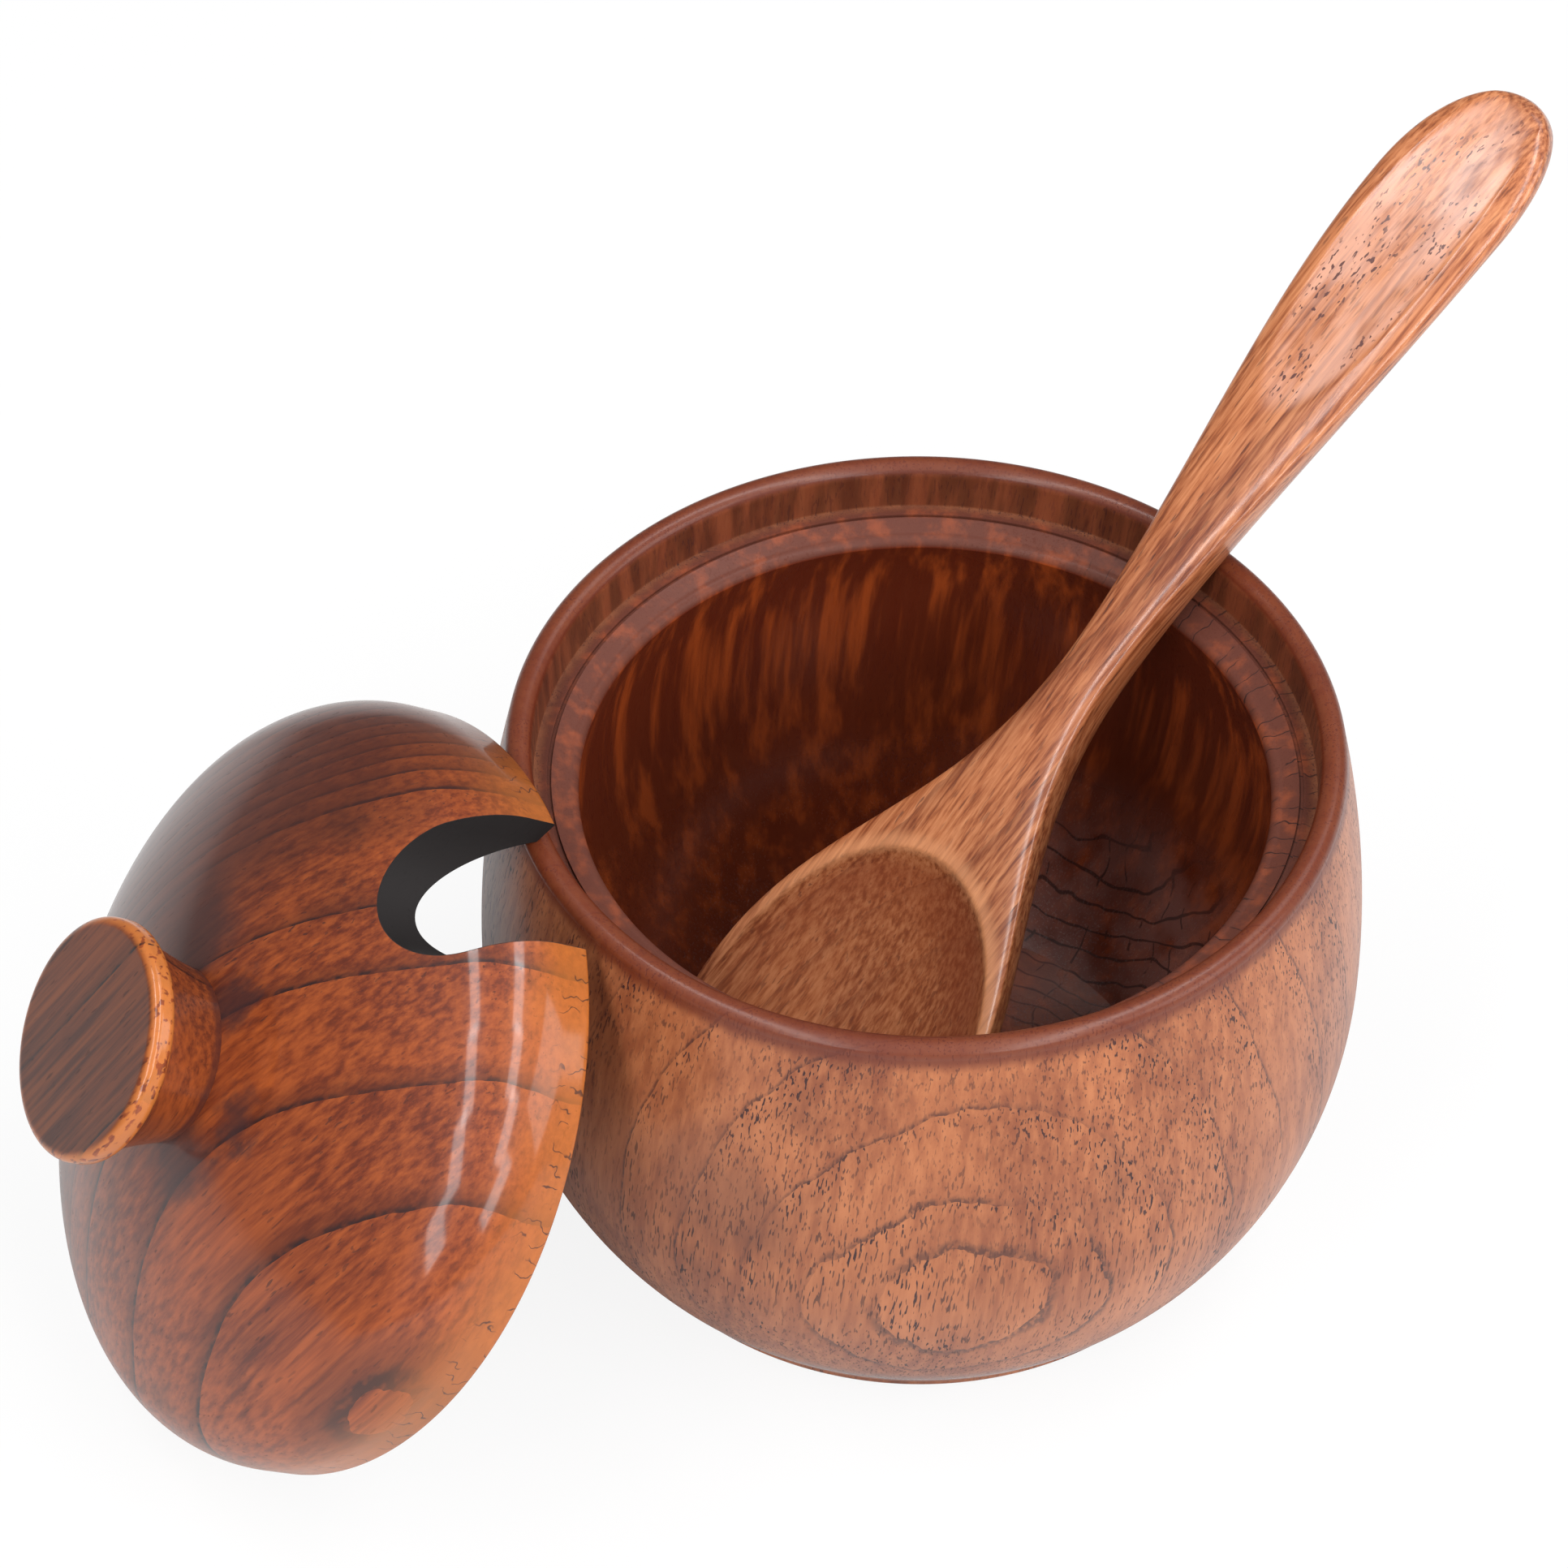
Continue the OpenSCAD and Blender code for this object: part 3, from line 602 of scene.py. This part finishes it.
# The spoon, in millimetres and degrees, with its colours and the way it stands in the pot
spoonValues = {
    "length": 157.0, "headR": 19.15, "headX": 21.0, "neckR": 3.25, "neckX": 77.7, "padR": 8.95,
    "padEnd": 15.3, "headOver": 0.8, "headUnder": 8.2, "hollowDepth": 6.6, "rimW": 1.3,
    "hollowRun": 27.5, "archH": 5.5, "archX": 109.0, "endDrop": 5.5, "neckOver": 1.6,
    "neckUnder": 6.2, "padOver": 2.1, "padUnder": 2.8, "padDip": 0.5, "square": 0.72,
    "turn": 40.6, "side": 1.8, "rise": 40.0, "roll": 3.7, "out": -30.0749, "up": 8.17934,
    "deep": (0.20, 0.045, 0.014), "base": (0.36, 0.108, 0.036), "bright": (0.60, 0.25, 0.11),
    "dark": (0.10, 0.020, 0.008), "line": (0.05, 0.014, 0.01),
    "rings": [-40.0, -21.0, -12.0, -6.0, -1.0, 4.0, 9.0, 16.0, 30.0],
    "wander": 3.0, "shake": 0.6, "bend": 0.0, "tilt": 0.0, "lateWidth": 1.5, "lineWidth": 0.3,
    "dotStretch": (0.9, 0.9, 0.2), "poreStretch": (2.8, 2.8, 0.3), "poreCut": 0.63,
    "streakStretch": (2.0, 2.0, 0.06), "cloudStretch": (0.12, 0.12, 0.02), "streaks": 0.75,
    "darkStreaks": 0.75, "lates": 0.25, "smoke": 0.1, "smokeAt": 1.0, "pores": 0.55, "lines": 0.25,
    "fadeStretch": (0.06, 0.05, 0.01), "fadeFloor": 0.3, "specular": 0.35,
    "bump": 0.3, "rough": 0.38, "coat": 0.75, "coatRough": 0.17,
    # Painted colours below: shade on the dish's side, sheen on the thumb pad, a highlight along the rim
    "dishStain": (0.34, 0.10, 0.04), "dishShade": (0.20, 0.04, 0.014), "neckTint": (0.5, 0.32, 0.28),
    "padSheen": (0.64, 0.36, 0.27), "padSpeck": (0.09, 0.03, 0.025), "rimHighlight": (0.66, 0.3, 0.14)}


# The spoon's own frame: first axis from the head's tip to the handle's end, as turn, rise and roll
def spoonFrame(s):
    t = math.radians(s["turn"])
    turn = Matrix.Rotation(t, 3, "Z") @ Matrix.Rotation(-math.radians(s["rise"]), 3, "Y")
    turn = turn @ Matrix.Rotation(math.radians(s["roll"]), 3, "X")
    return standingAt(t, s["out"], s["side"], s["up"]), np.array(turn)


# Smooth step 3t^2 - 2t^3 from 0 at a to 1 at b
def ease(a, b, x):
    t = np.clip((x - a) / (b - a), 0, 1)
    return t * t * (3 - 2 * t)


# Points of a cubic Bezier curve at the shares t
def bezier(p, t):
    p = np.array(p, dtype=float)
    t = t[:, None]
    return (1 - t) ** 3 * p[0] + 3 * (1 - t) ** 2 * t * p[1] + 3 * (1 - t) * t * t * p[2] + t ** 3 * p[3]


# Half width of the spoon along its length: four Bezier curves from the tip to the handle's end
def spoonPlan(s):
    padX = s["length"] - s["padEnd"]
    quarter = 0.552  # makes a Bezier curve a quarter of an ellipse
    headW = s["neckX"] - s["headX"]
    padW = padX - s["neckX"]
    tip = [[0, 0], [0, s["headR"] * quarter],
           [s["headX"] * (1 - quarter), s["headR"]], [s["headX"], s["headR"]]]
    head = [[s["headX"], s["headR"]], [s["headX"] + 0.39 * headW, s["headR"]],
            [s["neckX"] - 0.44 * headW, s["neckR"]], [s["neckX"], s["neckR"]]]
    pad = [[s["neckX"], s["neckR"]], [s["neckX"] + 0.29 * padW, s["neckR"]],
           [padX - 0.37 * padW, s["padR"]], [padX, s["padR"]]]
    end = [[padX, s["padR"]], [padX + quarter * s["padEnd"], s["padR"]],
           [s["length"], s["padR"] * 0.64], [s["length"], 0]]
    t = np.linspace(0, 1, 91)[1:]
    return np.concatenate([bezier(tip, t ** 1.6), bezier(head, np.linspace(0, 1, 151)[1:]),
                           bezier(pad, t), bezier(end, 1 - (1 - t) ** 1.6)])[:-1]


# The thumb pad's hollow: its middle and its half length along the spoon
def padHollow(s):
    run = s["padEnd"] * 1.6
    return s["length"] - s["padEnd"] - run / 4, run


# The spoon's rings: y = r * bulge(cos a), z = middle + over or under * bulge(sin a) - dish - dip,
# where bulge(v) keeps v's sign and raises its size to the power square
def spoonShape(s, ringPoints):
    plan = spoonPlan(s)
    x = plan[:, 0, None]
    r = plan[:, 1, None]
    padX = s["length"] - s["padEnd"]
    a = 2 * np.pi * (np.arange(ringPoints) + 0.5) / ringPoints
    across = np.sign(np.cos(a)) * np.abs(np.cos(a)) ** s["square"]
    up = np.sign(np.sin(a)) * np.abs(np.sin(a)) ** s["square"] + 0 * x
    toNeck = ease(s["headX"], s["neckX"], x)
    toPad = ease(s["neckX"], padX, x)
    nearEnd = np.clip(np.minimum(x, s["length"] - x), 0, 2)  # both ends are rounded over 2 mm
    endK = np.sqrt(1 - (1 - nearEnd / 2) ** 2)
    tipK = np.where(x < s["headX"], np.sqrt(np.maximum(1 - (1 - x / s["headX"]) ** 2, 0)), 1)
    over = s["headOver"] + (s["neckOver"] - s["headOver"]) * toNeck + (s["padOver"] - s["neckOver"]) * toPad
    under = s["headUnder"] + (s["neckUnder"] - s["headUnder"]) * toNeck
    under = under + (s["padUnder"] - s["neckUnder"]) * toPad
    over = over * endK
    under = under * endK * tipK

    # The middle line rises from the head to the arch's top and falls again towards the handle's end
    archTop = s["archH"] * (1 - s["headX"] / s["archX"]) ** 2
    fall = np.clip((x - s["archX"]) / (s["length"] - s["archX"]), 0, 1)
    rising = archTop - s["archH"] * (1 - x / s["archX"]) ** 2
    middle = np.where(x < s["archX"], rising, archTop - s["endDrop"] * fall ** 3)
    y = r * across
    run = np.where(x < s["headX"], s["headX"] - s["rimW"], s["hollowRun"])
    k = 1 - ((x - s["headX"]) / run) ** 2 - (y / (s["headR"] - s["rimW"])) ** 2
    dish = s["hollowDepth"] * np.maximum(k, 0) ** 0.8
    dipX, dipRun = padHollow(s)
    k = 1 - ((x - dipX) / dipRun) ** 2 - (y / (s["padR"] * 0.72)) ** 2
    dip = s["padDip"] * np.maximum(k, 0) ** 0.6
    z = middle + np.where(up > 0, over * up - dish - dip, under * up)
    points = np.stack([x + 0 * y, y, z], axis=-1).reshape(-1, 3)
    ends = np.array([[0, 0, archTop - s["archH"]], [s["length"], 0, archTop - s["endDrop"]]])
    return np.concatenate([points, ends]), ringFaces(len(plan), ringPoints)


# The spoon's stain and painted light: a painted highlight along the rim round the dish, a darker dish, a
# darker and redder neck, painted shade on the dish's wall towards one side and the neck, and a painted sheen
# with dark specks on the thumb pad. The dish is an ellipse: reach = root(along^2 + side^2), 1 on its edge.
def spoonStainAndPaintedLight(colour, grain):
    s = spoonValues
    x, y, z = parts(seenFrom(*spoonPlace))
    side = y / (s["headR"] - s["rimW"])
    front = (x - s["headX"]) / (s["headX"] - s["rimW"])
    back = (x - s["headX"]) / s["hollowRun"]
    reach = reachOf(Shade.maths("MAXIMUM", back, front * -1.0), side)
    # Painted highlight: a pale line along the rim round the dish
    rim = reach.rise(0.97, 1.0) * reach.rise(1.1, 1.03) * z.rise(0.0, 2.0)
    inside = reach.rise(1.0, 0.9)
    colour = blend(inside * 0.25, colour, s["dishStain"])
    # Painted shade on the dish's wall, towards one side and the neck end
    toSide = y.rise(4.0, -8.0) + x.rise(20.0, 44.0)
    dishShade = Shade.maths("MULTIPLY", reach.rise(0.55, 0.95) * inside, toSide, clamp=True)
    colour = blend(dishShade * 0.5, colour, s["dishShade"])
    neck = x.rise(55.0, 72.0) * x.rise(110.0, 85.0)
    colour = blend(neck * 0.4, colour, blend(0.8, colour, s["neckTint"], "MULTIPLY"))
    padX, padRun = padHollow(s)
    padAlong = (x - padX) / padRun
    padAcross = y / (s["padR"] * 0.72)
    pad = (padAlong * padAlong + padAcross * padAcross).rise(1.0, 0.75) * z.rise(0.0, 1.5)
    # Painted sheen: the thumb pad paler and pinker in patches; the dark specks after it are the wood's own
    sheenPatches = noise(grain, (0.25, 0.25, 0.08), 3.0, 0.6, at=19.0).rise(0.3, 0.6)
    colour = blend(pad * sheenPatches * 0.55, colour, s["padSheen"])
    specks = noise(grain, (2.4, 2.4, 1.0), 1.0, at=21.0).rise(0.6, 0.66)
    patches = noise(grain, (0.2, 0.2, 0.1), 1.0, at=22.0).rise(0.42, 0.58)
    colour = blend(pad * specks * patches, colour, s["padSpeck"])
    return blend(rim * 0.45, colour, s["rimHighlight"]), 0.0


spoonPlace = spoonFrame(spoonValues)
spoonPoints, spoonFaces = spoonShape(spoonValues, 176)
spoon = meshObject("spoonCarved", placed(spoonPoints, spoonPlace), spoonFaces, 50)
spoonAxes = grainAxes(spoonPlace[1] @ np.array([0.05, 0.55, 0.83]), spoonPlace[1] @ np.array([1.0, 0.0, 0.0]))
spoon.data.materials.append(woodMaterial("satinSpoon", spoonValues, spoonPlace[0], spoonAxes, spoonStainAndPaintedLight))
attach(spoon, "spoon")
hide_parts("spoon")
print("spoon made", len(spoonFaces))

# Floor, background and lamps, in metres, watts and degrees. Each strip of lamps is stripCount lamps
# from overhead down the front, at the left and the right. A lamp has a name, place, width, height, power.
stageValues = {
    "floor": (0.72, 0.72, 0.72), "floorSize": 3, "floorZ": -0.0002, "hidden": 0.88, "world": 0.22,
    "aim": (0, 0, 0.03), "lampDistance": 0.9, "stripCount": 5, "stripStart": -8, "stripStep": 19,
    "stripSide": 0.37, "stripReach": 0.93, "stripLamp": (0.15, 0.32, 1.5),
    "lamps": [("back", (0.55, 0.5, 1.0), 0.6, 0.5, 2.5), ("right", (1.1, -0.35, 0.55), 0.6, 0.8, 6.5)]}


# The floor keeps a share of its shading in the camera's view, the rest is plain white
def floorMaterial():
    material = bpy.data.materials.new("paperFloor")
    material.use_nodes = True
    Shade.tree = material.node_tree
    Shade.tree.nodes.clear()
    paper = Shade.node("ShaderNodeBsdfDiffuse", Color=(*stageValues["floor"], 1))
    white = Shade.node("ShaderNodeEmission", Color=(1, 1, 1, 1), Strength=1.0)
    seen = Shade(Shade.node("ShaderNodeLightPath").outputs["Is Camera Ray"])
    mixed = Shade.node("ShaderNodeMixShader", i0=seen * stageValues["hidden"], i1=Shade(paper.outputs[0]),
                       i2=Shade(white.outputs[0]))
    Shade.node("ShaderNodeOutputMaterial", Surface=Shade(mixed.outputs[0]))
    return material


far = stageValues["floorSize"]
floorMesh = bpy.data.meshes.new("floor")
corners = [(x, y, stageValues["floorZ"]) for x, y in ((-far, -far), (far, -far), (far, far), (-far, far))]
floorMesh.from_pydata(corners, [], [(0, 1, 2, 3)])
floor = linked("floor", floorMesh)
floorMesh.materials.append(floorMaterial())

# The world is full white to the camera and dimmer as a light
world = bpy.data.worlds.new("studio")
bpy.context.scene.world = world
world.use_nodes = True
Shade.tree = world.node_tree
Shade.tree.nodes.clear()
seen = Shade(Shade.node("ShaderNodeLightPath").outputs["Is Camera Ray"])
sky = Shade.node("ShaderNodeBackground", Color=(1, 1, 1, 1),
                 Strength=stageValues["world"] + seen * (1.0 - stageValues["world"]))
Shade.node("ShaderNodeOutputWorld", Surface=Shade(sky.outputs[0]))


# A lamp's or the camera's matrix: its right, up and back directions as columns, then its place
def matrixOf(side, up, back, place):
    turn = np.eye(4)
    turn[:3, 0] = side
    turn[:3, 1] = up
    turn[:3, 2] = back
    turn[:3, 3] = place
    return Matrix(turn.tolist())


# An area lamp at a place, aimed at the object: back = place - aim, side = world axis x back
def lamp(name, place, width, height, watts):
    data = bpy.data.lights.new(name, "AREA")
    data.shape = "RECTANGLE"
    data.size = width
    data.size_y = height
    data.energy = watts
    toward = np.array(stageValues["aim"], dtype=float) - np.array(place, dtype=float)
    back = -toward / np.linalg.norm(toward)
    side = np.cross(np.array([0.0, 1.0, 0.0]) if abs(back[1]) < 0.9 else np.array([0.0, 0.0, 1.0]), back)
    side = side / np.linalg.norm(side)
    linked(name, data).matrix_world = matrixOf(side, np.cross(back, side), back, place)


for sideSign in (-1, 1):
    for step in range(stageValues["stripCount"]):
        angle = math.radians(stageValues["stripStart"] + stageValues["stripStep"] * step)
        swing = stageValues["stripReach"]
        direction = np.array([sideSign * stageValues["stripSide"],
                              -math.sin(angle) * swing, math.cos(angle) * swing])
        place = direction / np.linalg.norm(direction) * stageValues["lampDistance"]
        lamp("strip", place + np.array(stageValues["aim"]), *stageValues["stripLamp"])
for lampValues in stageValues["lamps"]:
    lamp(*lampValues)

# The camera: turns in radians, focal length and frame in pixels, place in metres
viewValues = {"elevation": 0.7993294432, "roll": 0.0048458640, "focal": 6502.3217, "sensor": 36.0,
              "place": (-0.0156268, -0.4085630, 0.4796149), "frame": 1932, "clip": 0.01}
elevation = viewValues["elevation"]
roll = viewValues["roll"]
forward = np.array([0, math.cos(elevation), -math.sin(elevation)])
right = np.array([1.0, 0, 0])
upward = np.cross(right, forward)
camX = math.cos(roll) * right + math.sin(roll) * upward
camY = -math.sin(roll) * right + math.cos(roll) * upward
camData = bpy.data.cameras.new("camera")
camData.sensor_width = viewValues["sensor"]
camData.lens = viewValues["sensor"] * viewValues["focal"] / viewValues["frame"]
camData.clip_start = viewValues["clip"]
camera = linked("camera", camData)
camera.matrix_world = matrixOf(camX, camY, -forward, viewValues["place"])
bpy.context.scene.camera = camera
bpy.context.scene.view_settings.view_transform = "Standard"
print("stage made")
